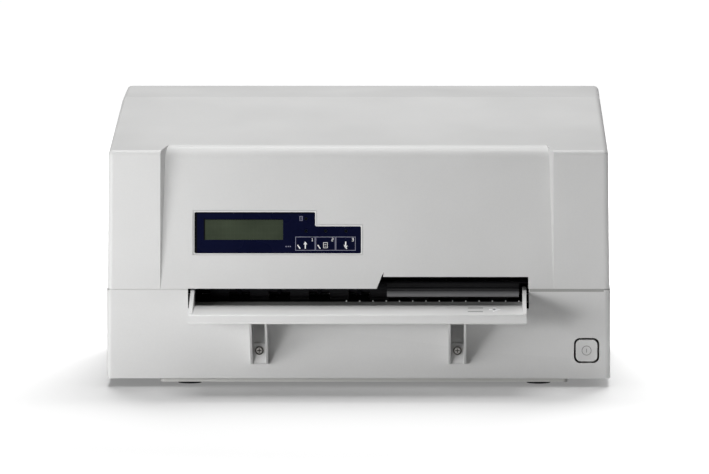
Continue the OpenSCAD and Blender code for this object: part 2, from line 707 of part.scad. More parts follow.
// Upper guide from depth y0 to y1, with lugs that hold the pinch rollers at depth axis_y
module upper_guide(y0, y1, axis_y) {
    difference() {
        translate([-frame_x, y0, upper_guide_z]) cube([2 * frame_x, y1 - y0, sheet_t]);
        for (x = sleeve_x) translate([x, axis_y, upper_guide_z - 1])
            linear_extrude(4) rounded_rect(sleeve_w + 2, 10, 1);
    }
    for (i = [0 : sleeve_count]) across((i - sleeve_count / 2) * sleeve_pitch - 1.5, 3) difference() {
        polygon([[axis_y - 5, upper_guide_z + eps], [axis_y + 5, upper_guide_z + eps],
            [axis_y + 4, pinch_z - 3.5], [axis_y - 4, pinch_z - 3.5]]);
        translate([axis_y, pinch_z]) circle(pinch_shaft_r + run_gap);
    }
}
upper_guide_front = 28;
head_slot = 22;
module front_upper_guide() color(dark) at_front()
    upper_guide(upper_guide_front, platen_y - head_slot / 2, feed_y[0]);
module rear_upper_guide() color(dark) at_front()
    upper_guide(platen_y + head_slot / 2, bridge_y[0] - 3, feed_y[1]);

guide_bar_x = [window_x0 + 8, window_x1 - 7];
guide_bar_y = table_inside + 4;
// Rounded nose that keeps the sheet down behind the slot window, hung from the front upper guide
module upper_guide_bar() color([0.55, 0.55, 0.57]) at_front()
    across(guide_bar_x[0], guide_bar_x[1] - guide_bar_x[0]) {
        low = paper_z + 3;
        translate([guide_bar_y + 2.2, low + 2.2]) circle(2.2);
        translate([guide_bar_y, low + 2.2]) square([4, 2.6]);
        translate([guide_bar_y + 2.2, low]) square([4, 5]);
        translate([guide_bar_y + 4, low + 1]) square([2.2, upper_guide_z - low - 1]);
        translate([guide_bar_y + 1.5, upper_guide_z - 5]) square([4, 1]);
    }

module front_guide_shaft() color(steel) at_front()
    translate([0, shaft_y[0], shaft_z]) x_rod(-frame_x - frame_t - 2, 2 * (frame_x + frame_t + 2), front_shaft_r);
module rear_guide_shaft() color(steel) at_front()
    translate([0, shaft_y[1], shaft_z]) x_rod(-frame_x - frame_t - 2, 2 * (frame_x + frame_t + 2), rear_shaft_r);

bush_l = 3;                             // how far the roller bushes reach in from the frames
module roller_bushes() color([0.85, 0.84, 0.78]) at_front() for (y = feed_y, s = [-1, 1])
    translate([0, y, feed_z]) difference() {
        union() {
            x_rod(s > 0 ? frame_x - bush_l : -frame_x - frame_t, frame_t + bush_l, bush_r - 0.02);
            x_rod(s > 0 ? frame_x - bush_l : -frame_x, bush_l, bush_r + 2);
        }
        x_rod(-frame_x - bush_l - frame_t, 2 * (frame_x + bush_l + frame_t), feed_shaft_r + run_gap);
    }

// ---------- belt drive ----------

idler_axle_r = 2;
motor_shaft_r = 2.5;
module rear_bridge() color(steel) at_front() {
    difference() {
        translate([-frame_x, bridge_y[0], bridge_z - frame_t])
            cube([2 * frame_x, bridge_y[1] - bridge_y[0], frame_t]);
        translate([pulley_x, belt_y, bridge_z - 5]) cylinder(h = 10, r = motor_boss_r + fit_gap);
        for (x = [-110 : 44 : 110]) translate([x, (bridge_y[0] + bridge_y[1]) / 2, bridge_z - 5])
            linear_extrude(10) rounded_rect(30, 18, 5);
    }
    translate([-frame_x, bridge_y[1] - frame_t, bridge_z - 12]) cube([2 * frame_x, frame_t, 12 - eps]);
    translate([-pulley_x, belt_y, bridge_z - eps]) {
        cylinder(h = belt_z - bridge_z + belt_h + 3, r = idler_axle_r);
        cylinder(h = belt_z - bridge_z - 1.2, r = 4.5);
    }
}

// Toothed pulley with two flanges, at the belt's height
module pulley(x, bore_r) translate([x, belt_y, 0]) difference() {
    union() {
        translate([0, 0, belt_z - 1]) cylinder(h = 1, r = pulley_r + belt_t + 0.8);
        translate([0, 0, belt_z - eps]) linear_extrude(belt_h + 2 * eps) difference() {
            circle(pulley_r - touch_gap);
            for (a = [0 : 20 : 340]) rotate(a) translate([pulley_r - touch_gap, 0]) circle(0.5, $fn = 16);
        }
        translate([0, 0, belt_z + belt_h]) cylinder(h = 1, r = pulley_r + belt_t + 0.8);
    }
    translate([0, 0, belt_z - 2]) cylinder(h = belt_h + 5, r = bore_r);
}
module drive_pulley() color([0.8, 0.8, 0.78]) at_front() pulley(pulley_x, motor_shaft_r);
module idler_pulley() color([0.8, 0.8, 0.78]) at_front() pulley(-pulley_x, idler_axle_r + run_gap);

module belt_outline(r) {
    square([2 * pulley_x, 2 * r], center = true);
    for (s = [-1, 1]) translate([s * pulley_x, 0]) circle(r);
}
belt_drop = 0.4;
module timing_belt() color(dark) at_front() translate([0, belt_y, belt_z + belt_drop])
    linear_extrude(belt_h - 2 * belt_drop) difference() {
        belt_outline(pulley_r + belt_t);
        belt_outline(pulley_r);
    }

carriage_motor_h = 30;
motor_boss_r = 6.5;
module motor_can(h) difference() {
    union() {
        linear_extrude(h * 0.2) rounded_rect(motor_w, motor_w, 4);
        translate([0, 0, h * 0.2 - eps]) linear_extrude(h * 0.6 + 2 * eps)
            rounded_rect(motor_w - 2, motor_w - 2, 7);
        translate([0, 0, h * 0.8]) linear_extrude(h * 0.2) rounded_rect(motor_w, motor_w, 4);
        translate([0, 0, h - eps]) cylinder(h = 1 + eps, r = motor_boss_r);
    }
    translate([0, 0, -1]) cylinder(h = h + 3, r = motor_shaft_r + run_gap);
}
motor_top = bridge_z - frame_t;
module carriage_motor() color([0.3, 0.3, 0.32]) at_front()
    translate([pulley_x, belt_y, motor_top - carriage_motor_h]) motor_can(carriage_motor_h);
module carriage_motor_shaft() color(steel) at_front()
    translate([pulley_x, belt_y, motor_top - carriage_motor_h + 2])
        cylinder(h = belt_z + belt_h + 2.5 - motor_top + carriage_motor_h, r = motor_shaft_r);

// ---------- feed drive ----------

feed_motor_l = 38;
module feed_motor() color([0.3, 0.3, 0.32]) at_front()
    translate([frame_x - feed_motor_l, platen_y, pinion_z]) rotate([0, 90, 0]) motor_can(feed_motor_l);
module feed_motor_shaft() color(steel) at_front() translate([0, platen_y, pinion_z])
    x_rod(frame_x - feed_motor_l + 2, gear_x + gear_w + 0.5 - frame_x + feed_motor_l - 2, motor_shaft_r);
module feed_pinion() color([0.85, 0.84, 0.78]) at_front()
    x_gear(pinion_teeth, platen_y, pinion_z, motor_shaft_r, pinion_phase);

module feed_shaft(y) translate([0, y, feed_z])
    x_rod(-frame_x - frame_t - 1, 2 * frame_x + frame_t + 1 + gear_x - frame_x + gear_w, feed_shaft_r);
module feed_sleeves(y) for (x = sleeve_x) translate([0, y, feed_z]) difference() {
    x_rod(x - sleeve_w / 2, sleeve_w, feed_r);
    x_rod(x - sleeve_w, 2 * sleeve_w, feed_shaft_r);
}
module front_feed_shaft() color(steel) at_front() feed_shaft(feed_y[0]);
module rear_feed_shaft() color(steel) at_front() feed_shaft(feed_y[1]);
module front_feed_sleeves() color(rubber_colour) at_front() feed_sleeves(feed_y[0]);
module rear_feed_sleeves() color(rubber_colour) at_front() feed_sleeves(feed_y[1]);
module front_roller_gear() color([0.85, 0.84, 0.78]) at_front()
    x_gear(roller_teeth, feed_y[0], feed_z, feed_shaft_r, toward_pinion_front);
module rear_roller_gear() color([0.85, 0.84, 0.78]) at_front()
    x_gear(roller_teeth, feed_y[1], feed_z, feed_shaft_r, rear_gear_phase);

module pinch_rollers(y) translate([0, y, pinch_z]) {
    half = sleeve_count / 2 * sleeve_pitch + 4;
    x_rod(-half, 2 * half, pinch_shaft_r);
    for (x = sleeve_x) x_rod(x - sleeve_w / 2, sleeve_w, pinch_r);
}
module front_pinch_rollers() color(rubber_colour) at_front() pinch_rollers(feed_y[0]);
module rear_pinch_rollers() color(rubber_colour) at_front() pinch_rollers(feed_y[1]);

// ---------- carriage ----------

bush_wall = 3;
head_r = 21;
nose_r = 9;
nose_z = paper_z + 1.6;
head_base = carriage_z + 4;
head_h = 46;
slide_bush_l = 12;

// Carriage: a moulded block round both shafts with a well for the head and an arm to the belt
module carriage_frame() color(dark) at_front() translate([park_x, 0, 0]) difference() {
    union() {
        translate([0, platen_y, carriage_z]) linear_extrude(4) rounded_rect(carriage_w, 66, 6);
        for (i = [0, 1]) translate([0, shaft_y[i], shaft_z])
            x_rod(-carriage_w / 2, carriage_w, [front_shaft_r, rear_shaft_r][i] + bush_wall + 1);
        for (s = [-1, 1]) across(s * carriage_w / 2 - (s > 0 ? 2.5 : 0), 2.5)
            polygon([[shaft_y[0], carriage_z], [shaft_y[1], carriage_z], [shaft_y[1], shaft_z + 6],
                [platen_y + 10, shaft_z + 2], [platen_y - 10, shaft_z + 2], [shaft_y[0], shaft_z + 7]]);
        // arm that grips the belt's front run
        translate([-8, shaft_y[1], belt_z - 2.5])
            cube([16, belt_y - pulley_r - belt_t / 2 - shaft_y[1] + 3, belt_h + 5]);
    }
    for (i = [0, 1]) translate([0, shaft_y[i], shaft_z])
        x_rod(-carriage_w, 2 * carriage_w, [front_shaft_r, rear_shaft_r][i] + bush_wall);
    translate([0, platen_y, carriage_z - 5]) cylinder(h = 40, r = nose_r + 3);
    translate([0, platen_y, head_base - eps]) cylinder(h = 40, r = head_r + 0.2);
    // slot for the belt
    translate([-10, belt_y - pulley_r - belt_t - touch_gap, belt_z - touch_gap + belt_drop])
        cube([20, belt_t + 2 * touch_gap, belt_h + 2 * touch_gap - 2 * belt_drop]);
}

module carriage_bushes() color([0.70, 0.55, 0.28]) at_front() translate([park_x, 0, 0])
    for (i = [0, 1], s = [-1, 1]) translate([0, shaft_y[i], shaft_z]) difference() {
        r = [front_shaft_r, rear_shaft_r][i];
        x_rod(s > 0 ? carriage_w / 2 - slide_bush_l : -carriage_w / 2, slide_bush_l, r + bush_wall);
        x_rod(-carriage_w, 2 * carriage_w, r + run_gap);
    }

fin_pitch = 4;
module print_head() color([0.32, 0.33, 0.35]) at_front() translate([park_x, platen_y, head_base]) {
    difference() {
        cylinder(h = head_h, r = head_r);
        for (z = [14 : fin_pitch : head_h - 5]) translate([0, 0, z]) difference() {
            cylinder(h = fin_pitch / 2, r = head_r + 1);
            translate([0, 0, -eps]) cylinder(h = fin_pitch / 2 + 2 * eps, r = head_r - 6);
        }
    }
}

module needle_guide() color([0.75, 0.76, 0.78]) at_front() translate([park_x, platen_y, 0]) {
    translate([0, 0, nose_z + 8]) cylinder(h = head_base - nose_z - 8, r1 = 4.5, r2 = nose_r);
    translate([-3, -4, nose_z]) cube([6, 8, 8 + eps]);
}

// Cassette: a flat box with a well for the head's nose and two arms that carry the ribbon past it
cassette_y = [platen_y - 60, platen_y + 38];
arm_x = 16;
module ribbon_cassette() color([0.20, 0.20, 0.22]) at_front() translate([park_x, 0, 0]) {
    difference() {
        translate([0, (cassette_y[0] + cassette_y[1]) / 2, cassette_z]) linear_extrude(cassette_h)
            rounded_rect(cassette_w, cassette_y[1] - cassette_y[0], 6);
        translate([0, platen_y, cassette_z - 1]) linear_extrude(cassette_h + 2) rounded_rect(26, 26, 6);
        translate([knob_x, knob_y, cassette_z + cassette_h - 6]) cylinder(h = 7, r = knob_stem_r + run_gap);
    }
    for (s = [-1, 1]) back_from(platen_y - 7, 14) scale([s, 1])
        polygon([[13.1, cassette_z + eps], [24, cassette_z + eps],
            [arm_x + 2, paper_z + 1.8], [arm_x - 1, paper_z + 1.8]]);
}
ribbon_t = 0.25;
module ink_ribbon() color([0.05, 0.05, 0.06]) at_front()
    translate([park_x - arm_x - 2, platen_y - 6.5, nose_z - 0.4 - ribbon_t]) cube([2 * arm_x + 4, 13, ribbon_t]);

knob_x = 34;
knob_y = cassette_y[0] + 10;
knob_r = 8;
knob_stem_r = 2.5;
module ribbon_knob() color([0.1, 0.25, 0.5]) at_front()
    translate([park_x + knob_x, knob_y, cassette_z + cassette_h]) {
    translate([0, 0, -5]) cylinder(h = 6, r = knob_stem_r);
    translate([0, 0, 0.3]) linear_extrude(5) difference() {
        circle(knob_r);
        for (a = [0 : 30 : 330]) rotate(a) translate([knob_r + 0.6, 0]) circle(1.4);
    }
}

// ---------- electronics ----------

board_rise = 4;
board_t = 1.6;
psu_w = 108;
psu_x = [body_w / 2 - 26 - psu_w, body_w / 2 - 26];
psu_y = [body_d - 76, body_d - 26];
psu_h = 42;
board_x = [-body_w / 2 + 27, psu_x[0] - 18];
board_y = [psu_y[0] - 4, body_d - wall - 11];
hole_inset = 6;
board_holes_x = [board_x[0] + hole_inset, board_x[1] - hole_inset];
board_holes_y = [board_y[0] + hole_inset, board_y[1] - hole_inset];
board_z = floor_z + board_rise;

module logic_board() color(board_green) at_front() difference() {
    translate([board_x[0], board_y[0], board_z]) cube([board_x[1] - board_x[0], board_y[1] - board_y[0], board_t]);
    for (x = board_holes_x, y = board_holes_y) translate([x, y, board_z - 1]) cylinder(h = 4, r = 1.4);
}
processor = [24, 24, 2.4];
memory_chip = [8, 22, 3.4];
chip_pitch = 14;
capacitor_r = 5;
capacitor_h = 16;
header = [30, 4, 22];
parts_y = board_y[0] + 9;               // front edge of the row of parts

// Two processors, a row of memory chips, two capacitors and a header for the head's cable
module board_parts() color(dark) at_front() translate([0, 0, board_z + board_t]) {
    for (x = [board_x[0] + 25, board_x[0] + 69]) translate([x, parts_y, 0]) cube(processor);
    for (x = [board_x[0] + 115 : chip_pitch : board_x[1] - 48])
        translate([x, parts_y + 1, 0]) cube(memory_chip);
    for (x = [board_x[1] - 32, board_x[1] - 20])
        translate([x, parts_y + 9, 0]) cylinder(h = capacitor_h, r = capacitor_r);
    translate([board_x[1] - header.x - 10, parts_y + 31, 0]) cube(header);
}

module power_supply() color(steel) at_front() difference() {
    translate([psu_x[0], psu_y[0], floor_z]) cube([psu_x[1] - psu_x[0], psu_y[1] - psu_y[0], psu_h]);
    translate([psu_x[0] + sheet_t, psu_y[0] + sheet_t, floor_z + sheet_t])
        cube([psu_x[1] - psu_x[0] - 2 * sheet_t, psu_y[1] - psu_y[0] - 2 * sheet_t, psu_h - 2 * sheet_t]);
    for (x = [psu_x[0] + 12 : 8 : psu_x[1] - 10])
        translate([x, (psu_y[0] + psu_y[1]) / 2, floor_z + psu_h - 3]) linear_extrude(5) rounded_rect(3.4, 34, 1.6);
}

module mains_inlet() color(dark) at_front() difference() {
    union() {
        back_from(psu_y[1], body_d + 1 - psu_y[1])
            translate([inlet_x, inlet_z]) square([inlet_w, inlet_h], center = true);
        back_from(body_d, 2) translate([inlet_x, inlet_z]) rounded_rect(inlet_w + 16, inlet_h + 4, 3);
    }
    back_from(body_d - 15, 20) translate([inlet_x, inlet_z]) difference() {
        polygon([[-12, -5], [-9, -8], [9, -8], [12, -5], [12, 8], [-12, 8]]);
        for (p = [[-7, -1.5], [0, 2], [7, -1.5]]) translate(p) square([2, 4], center = true);
    }
}

// Socket on the logic board's rear edge: a metal shell with a contact tongue
module rear_socket(x, width) translate([x, 0, socket_z]) {
    back_from(body_d - 14, 12) square([width, socket_h], center = true);
    back_from(body_d - 2 - eps, 4) difference() {
        rounded_rect(width - 12, socket_h - 3, 3);
        rounded_rect(width - 14, socket_h - 5, 2);
    }
    back_from(body_d - 2 - eps, 3) square([width - 20, 3], center = true);
    translate([-width / 2 + 4, board_y[1] - 10, board_z + board_t - socket_z])
        cube([width - 8, body_d - 14 + eps - board_y[1] + 10, 6]);
}
module parallel_socket() color(steel) at_front() rear_socket(parallel_x, parallel_w);
module serial_socket() color(steel) at_front() rear_socket(serial_x, serial_w);

// ---------- pieces ----------

base_plate();
rubber_feet();
lower_casing();
front_table();
table_brackets();
bracket_screws();
left_side_frame();
right_side_frame();
lower_guide_plate();
front_upper_guide();
rear_upper_guide();
upper_guide_bar();
platen_bar();
front_guide_shaft();
rear_guide_shaft();
roller_bushes();
rear_bridge();
carriage_motor();
timing_belt();
feed_motor();
logic_board();
board_parts();
power_supply();
mains_inlet();
parallel_socket();
serial_socket();
power_switch();
hinge_pins();
upper_cover();
panel_foil();
display_window();
display_module();
indicator_lenses();
panel_board();
panel_key(0);  // key_left
panel_key(1);  // key_middle
panel_key(2);  // key_right
power_button();
carriage_frame();
carriage_bushes();
print_head();
needle_guide();
ribbon_cassette();
ink_ribbon();
ribbon_knob();
drive_pulley();
carriage_motor_shaft();
idler_pulley();
front_feed_shaft();
front_feed_sleeves();
front_roller_gear();
rear_feed_shaft();
rear_feed_sleeves();
rear_roller_gear();
front_pinch_rollers();
rear_pinch_rollers();
feed_motor_shaft();
feed_pinion();
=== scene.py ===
"""Looks of a flatbed dot matrix printer: finishes, printed marks, lamps and camera round the CAD frame."""
import json
import math

import bmesh
import bpy
from mathutils import Matrix, Vector


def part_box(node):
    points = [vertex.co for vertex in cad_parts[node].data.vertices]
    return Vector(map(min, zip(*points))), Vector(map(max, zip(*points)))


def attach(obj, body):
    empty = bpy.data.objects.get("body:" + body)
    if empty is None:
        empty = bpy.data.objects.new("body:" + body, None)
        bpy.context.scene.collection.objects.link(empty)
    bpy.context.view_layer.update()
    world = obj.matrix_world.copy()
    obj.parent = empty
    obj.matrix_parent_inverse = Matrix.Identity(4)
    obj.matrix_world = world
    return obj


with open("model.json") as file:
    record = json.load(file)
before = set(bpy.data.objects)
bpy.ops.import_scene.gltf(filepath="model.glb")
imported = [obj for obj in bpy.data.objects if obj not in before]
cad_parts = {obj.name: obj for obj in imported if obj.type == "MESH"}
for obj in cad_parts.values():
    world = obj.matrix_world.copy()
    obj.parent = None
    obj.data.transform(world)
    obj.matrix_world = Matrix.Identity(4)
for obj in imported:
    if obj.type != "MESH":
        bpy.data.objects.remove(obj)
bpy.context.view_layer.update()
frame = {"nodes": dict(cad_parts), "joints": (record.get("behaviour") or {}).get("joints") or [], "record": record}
nodes = frame["nodes"]

MM = 0.001

# ---------- shader helpers ----------

# places of the sockets of a Mix node that mixes colours
MIX_FACTOR, MIX_FIRST, MIX_SECOND, MIX_RESULT = 0, 6, 7, 2
NOISE_LOW, NOISE_HIGH = 0.3, 0.7        # the range in which most values of a noise texture lie


def connect(tree, source, target):
    """Links a socket to the target, or gives the target a constant."""
    if isinstance(source, bpy.types.NodeSocket):
        tree.links.new(source, target)
    else:
        target.default_value = source


def node_adder(tree):
    """A function that adds a node to the tree, sets it and feeds its inputs."""

    def add(kind, links=None, **settings):
        node = tree.nodes.new(kind)
        for key, value in settings.items():
            setattr(node, key, value)
        for socket, source in (links or {}).items():
            connect(tree, source, node.inputs[socket])
        return node

    return add


def new_material(name):
    """A node material, a function that adds nodes to it and one that feeds its Principled shader."""
    material = bpy.data.materials.new(name)
    material.use_nodes = True
    tree = material.node_tree
    shader = tree.nodes["Principled BSDF"]

    def feed(socket, source):
        connect(tree, source, shader.inputs[socket])

    return material, node_adder(tree), feed


def object_coordinates(add):
    """Coordinates in metres that stay on the piece when it moves."""
    return add("ShaderNodeTexCoord").outputs["Object"]


def calculated(add, operation, *terms):
    """Result of a maths node on one or two terms, each a number or a socket."""
    return add("ShaderNodeMath", dict(enumerate(terms)), operation=operation).outputs[0]


def noise(add, place, per_metre, detail, roughness=0.55, stretch=(1, 1, 1)):
    """Noise with so many features to the metre, squeezed by a factor along each axis."""
    scaled = add("ShaderNodeMapping", {"Vector": place, "Scale": stretch}).outputs["Vector"]
    look = {"Vector": scaled, "Scale": per_metre, "Detail": detail, "Roughness": roughness}
    return add("ShaderNodeTexNoise", look).outputs["Fac"]


def ramp(add, value, start, end, low, high, curve="LINEAR"):
    """Maps the range from start to end to the values low to high."""
    ends = {"Value": value, "From Min": start, "From Max": end, "To Min": low, "To Max": high}
    return add("ShaderNodeMapRange", ends, interpolation_type=curve).outputs["Result"]


def spread(add, factor, low, high):
    """Maps a texture's usual middle range to the values low to high."""
    return ramp(add, factor, NOISE_LOW, NOISE_HIGH, low, high)


def tinted(add, factor, first, second):
    """Mixes two colours, each a constant or a socket."""
    first, second = (c if isinstance(c, bpy.types.NodeSocket) else (*c, 1) for c in (first, second))
    links = {MIX_FACTOR: factor, MIX_FIRST: first, MIX_SECOND: second}
    return add("ShaderNodeMix", links, data_type="RGBA").outputs[MIX_RESULT]


def shade(colour, factor):
    return tuple(min(1.0, c * factor) for c in colour)


def clouded(add, cloud, colour, darkest, palest):
    """The colour, with its shades spread over the values of a noise."""
    return tinted(add, spread(add, cloud, 0, 1), shade(colour, darkest), shade(colour, palest))


def bump(add, height, depth_mm, strength):
    relief = {"Height": height, "Distance": depth_mm * MM, "Strength": strength}
    return add("ShaderNodeBump", relief).outputs["Normal"]


# ---------- materials ----------

WEAR_FROM, WEAR_TO = 0.52, 0.62         # pointiness at which the wear of an edge starts and is full
WEAR_SHARE = 0.35                       # share of the paler shade on a worn edge
SPECKLE_SHARE = 0.05
SPECKLE_GRAINS = 2.6                    # size of a speckle in grains
ALONG_X, ROUND_X = (1, 14, 14), (14, 1, 1)      # squeeze noise into streaks along X, or round it
CELL_MM, CELL_SHARE = (2.95, 5.6), (0.82, 0.86)     # pitch of the display's cells, and how much a cell fills
DOT_MM, DOT_SHARE = (0.62, 0.62), (0.88, 0.88)      # the same for the dots in a cell
DOT_STRENGTH = 0.10


def moulded_plastic(name, colour, grain_mm=0.55, depth_mm=0.05, roughness=0.5, mottle=0.02, level=0.4):
    """Spark-eroded moulding: fine grain, faint flow mottle, edges worn a little paler."""
    material, add, feed = new_material(name)
    place = object_coordinates(add)
    flow = noise(add, place, per_metre=14, detail=4)
    grain = noise(add, place, per_metre=1 / (grain_mm * MM), detail=2, roughness=0.6)
    speckle = noise(add, place, per_metre=1 / (grain_mm * SPECKLE_GRAINS * MM), detail=1)
    base = clouded(add, flow, colour, darkest=1 - mottle, palest=1 + mottle)
    speckled = tinted(add, spread(add, speckle, 0, SPECKLE_SHARE), base, shade(colour, 0.7))
    pointiness = add("ShaderNodeNewGeometry").outputs["Pointiness"]
    wear_and_highlight = ramp(add, pointiness, WEAR_FROM, WEAR_TO, 0, WEAR_SHARE)
    feed("Base Color", tinted(add, wear_and_highlight, speckled, shade(colour, 1.08)))
    feed("Roughness", spread(add, flow, roughness - 0.04, roughness + 0.05))
    feed("Specular IOR Level", level)
    feed("Normal", bump(add, grain, depth_mm, strength=0.55))
    return material


def ink(name, colour, roughness=0.5, mottle=0.04, level=0.4):
    """Ink or a shadow line: flat, without grain."""
    return moulded_plastic(name, colour, depth_mm=0.0, roughness=roughness, mottle=mottle, level=level)


def sheet_metal(name, colour, roughness=0.32, brushed=ALONG_X):
    """Rolled sheet or ground bar: streaks, cloudy plating, fine scratches."""
    material, add, feed = new_material(name)
    place = object_coordinates(add)
    cloud = noise(add, place, per_metre=30, detail=5)
    streak = noise(add, place, per_metre=260, detail=4, stretch=brushed)
    feed("Base Color", clouded(add, cloud, colour, darkest=0.9, palest=1.06))
    feed("Metallic", 1.0)
    feed("Roughness", spread(add, streak, roughness - 0.08, roughness + 0.12))
    feed("Normal", bump(add, streak, depth_mm=0.02, strength=0.4))
    return material


def rubber(name, colour):
    """Matt rubber with a fine grain and some dust."""
    material, add, feed = new_material(name)
    place = object_coordinates(add)
    grain = noise(add, place, per_metre=2500, detail=3)
    dust = noise(add, place, per_metre=60, detail=5)
    feed("Base Color", clouded(add, dust, colour, darkest=1, palest=1.7))
    feed("Roughness", spread(add, grain, low=0.72, high=0.9))
    feed("Normal", bump(add, grain, depth_mm=0.08, strength=0.6))
    return material


def printed_foil(name, colour):
    """Reverse-printed polyester foil: satin film with a fine pebble."""
    material, add, feed = new_material(name)
    place = object_coordinates(add)
    pebble = noise(add, place, per_metre=3200, detail=1)
    cloud = noise(add, place, per_metre=25, detail=3)
    feed("Base Color", clouded(add, cloud, colour, darkest=0.92, palest=1.12))
    feed("Roughness", spread(add, cloud, low=0.24, high=0.32))
    feed("Specular IOR Level", 0.08)
    feed("Normal", bump(add, pebble, depth_mm=0.012, strength=0.5))
    return material


def grid(add, place, pitch_mm, share):
    """1 inside the cells of a grid over X and Z, and 0 between them."""
    axes = add("ShaderNodeSeparateXYZ", {"Vector": place}).outputs

    def stripes(axis, pitch, part):
        count = calculated(add, "MULTIPLY", axes[axis], 1 / (pitch * MM))
        return calculated(add, "LESS_THAN", calculated(add, "FRACT", count), part)

    columns = stripes("X", pitch_mm[0], share[0])
    rows = stripes("Z", pitch_mm[1], share[1])
    return calculated(add, "MULTIPLY", columns, rows)


def liquid_crystal(name, lit, dim):
    """Reflective display: rows of faint character cells made of small dots, under a glossy window."""
    material, add, feed = new_material(name)
    place = object_coordinates(add)
    cells = grid(add, place, CELL_MM, CELL_SHARE)
    dots = grid(add, place, DOT_MM, DOT_SHARE)
    pattern = calculated(add, "MULTIPLY", calculated(add, "MULTIPLY", cells, dots), DOT_STRENGTH)
    cloud = noise(add, place, per_metre=28, detail=3)
    back = tinted(add, spread(add, cloud, 0, 1), dim, lit)
    feed("Base Color", tinted(add, pattern, back, shade(dim, 0.55)))
    feed("Roughness", 0.22)
    feed("Coat Weight", 0.6)
    feed("Coat Roughness", 0.06)
    return material


def circuit_board(name, mask, copper):
    """Solder mask over tracks, with tinned pads."""
    material, add, feed = new_material(name)
    place = object_coordinates(add)
    colours = {"Color1": (*mask, 1), "Color2": (*shade(mask, 0.8), 1), "Mortar": (*copper, 1)}
    layout = {"Vector": place, "Scale": 120, "Mortar Size": 0.06}
    tracks = add("ShaderNodeTexBrick", {**layout, **colours}).outputs["Color"]
    cloud = noise(add, place, per_metre=90, detail=2)
    feed("Base Color", tinted(add, spread(add, cloud, low=0, high=0.5), tracks, shade(mask, 1.3)))
    feed("Roughness", 0.34)
    feed("Coat Weight", 0.4)
    return material


def woven_ribbon(name, colour):
    """Inked fabric with a fine weave."""
    material, add, feed = new_material(name)
    place = object_coordinates(add)
    threads = {"Vector": place, "Scale": 900, "Distortion": 0.3}
    weave = add("ShaderNodeTexWave", threads, wave_type="BANDS").outputs["Fac"]
    cloud = noise(add, place, per_metre=200, detail=4)
    feed("Base Color", clouded(add, cloud, colour, darkest=0.7, palest=1.6))
    feed("Roughness", 0.68)
    feed("Sheen Weight", 0.2)
    feed("Normal", bump(add, weave, depth_mm=0.03, strength=0.5))
    return material


def bar_with_painted_highlight(name, dark, painted_highlight, z_low, z_high):
    """Blackened bar with a painted highlight on its foot: pale at z_low, fading to the dark colour by z_high."""
    material, add, feed = new_material(name)
    place = object_coordinates(add)
    height = add("ShaderNodeSeparateXYZ", {"Vector": place}).outputs["Z"]
    # painted highlight: 1 at the foot, fading to 0 by z_high
    wear_and_highlight = ramp(add, height, z_low, z_high, 1, 0, "SMOOTHSTEP")
    streak = noise(add, place, per_metre=260, detail=4, stretch=ALONG_X)
    feed("Base Color", tinted(add, wear_and_highlight, dark, painted_highlight))
    feed("Roughness", spread(add, streak, low=0.42, high=0.58))
    feed("Specular IOR Level", 0.25)
    feed("Normal", bump(add, streak, depth_mm=0.02, strength=0.4))
    return material


SHELL = (0.700, 0.700, 0.695)
DARK = (0.022, 0.022, 0.024)
LENS = (0.002, 0.003, 0.003)
BLACK = (0.004, 0.004, 0.005)
NAVY = (0.0030, 0.0042, 0.021)
BLUE = (0.03, 0.10, 0.32)
IVORY = (0.72, 0.70, 0.61)
LCD_LIT, LCD_DIM = (0.052, 0.066, 0.042), (0.032, 0.042, 0.027)
BOARD_MASK, BOARD_COPPER = (0.015, 0.11, 0.045), (0.05, 0.20, 0.08)
# the guide bar's own near-black, and the paler colour of the painted highlight on its foot, where light gets in
# under the cover
BAR_BLACK, BAR_HIGHLIGHT_PAINT = (0.008, 0.008, 0.009), (0.33, 0.33, 0.34)
BAR_HIGHLIGHT_HEIGHT = 7.0 * MM                     # height of the painted highlight on the guide bar's foot
bar_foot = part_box("upper_guide_bar")[0].z

materials = {
    "shell_plastic": moulded_plastic("shell_plastic", SHELL),
    "dark_plastic": moulded_plastic("dark_plastic", DARK, roughness=0.55, mottle=0.15),
    "foil": printed_foil("foil", NAVY),
    "display_glass": liquid_crystal("display_glass", LCD_LIT, LCD_DIM),
    "lens": moulded_plastic("lens", LENS, depth_mm=0.0, roughness=0.3, mottle=0.1, level=0.15),
    "sheet_steel": sheet_metal("sheet_steel", (0.60, 0.61, 0.62)),
    "shaft_steel": sheet_metal("shaft_steel", (0.72, 0.73, 0.74), roughness=0.2, brushed=ROUND_X),
    "black_steel": moulded_plastic(
        "black_steel", BLACK, depth_mm=0.01, roughness=0.62, mottle=0.1, level=0.08
    ),
    "aluminium": sheet_metal("aluminium", (0.26, 0.27, 0.28), roughness=0.42),
    "rubber": rubber("rubber", (0.009, 0.009, 0.010)),
    "gear_plastic": moulded_plastic("gear_plastic", IVORY, grain_mm=0.9, depth_mm=0.02, roughness=0.38),
    "bronze": sheet_metal("bronze", (0.50, 0.34, 0.15), roughness=0.4),
    "circuit_board": circuit_board("circuit_board", BOARD_MASK, BOARD_COPPER),
    "ribbon": woven_ribbon("ribbon", (0.012, 0.012, 0.014)),
    "knob_plastic": moulded_plastic("knob_plastic", BLUE, roughness=0.4),
    "guide_bar": bar_with_painted_highlight("guide_bar", BAR_BLACK, BAR_HIGHLIGHT_PAINT, bar_foot, bar_foot + BAR_HIGHLIGHT_HEIGHT),
}
# nodes that look a little different from the rest of their slot
own_finish = {
    "base_plate": moulded_plastic(
        "painted_steel", (0.62, 0.62, 0.60), depth_mm=0.01, roughness=0.55, level=0.2
    ),
    "bracket_screws": sheet_metal("screw_steel", (0.42, 0.41, 0.39), roughness=0.35),
}

slot_of = {entry["node"]: entry["material_slot"] for entry in frame["record"]["subparts"]}
for node_name, cad in nodes.items():
    cad.data.materials.clear()
    cad.data.materials.append(own_finish.get(node_name, materials[slot_of[node_name]]))

# ---------- edges of the mouldings ----------

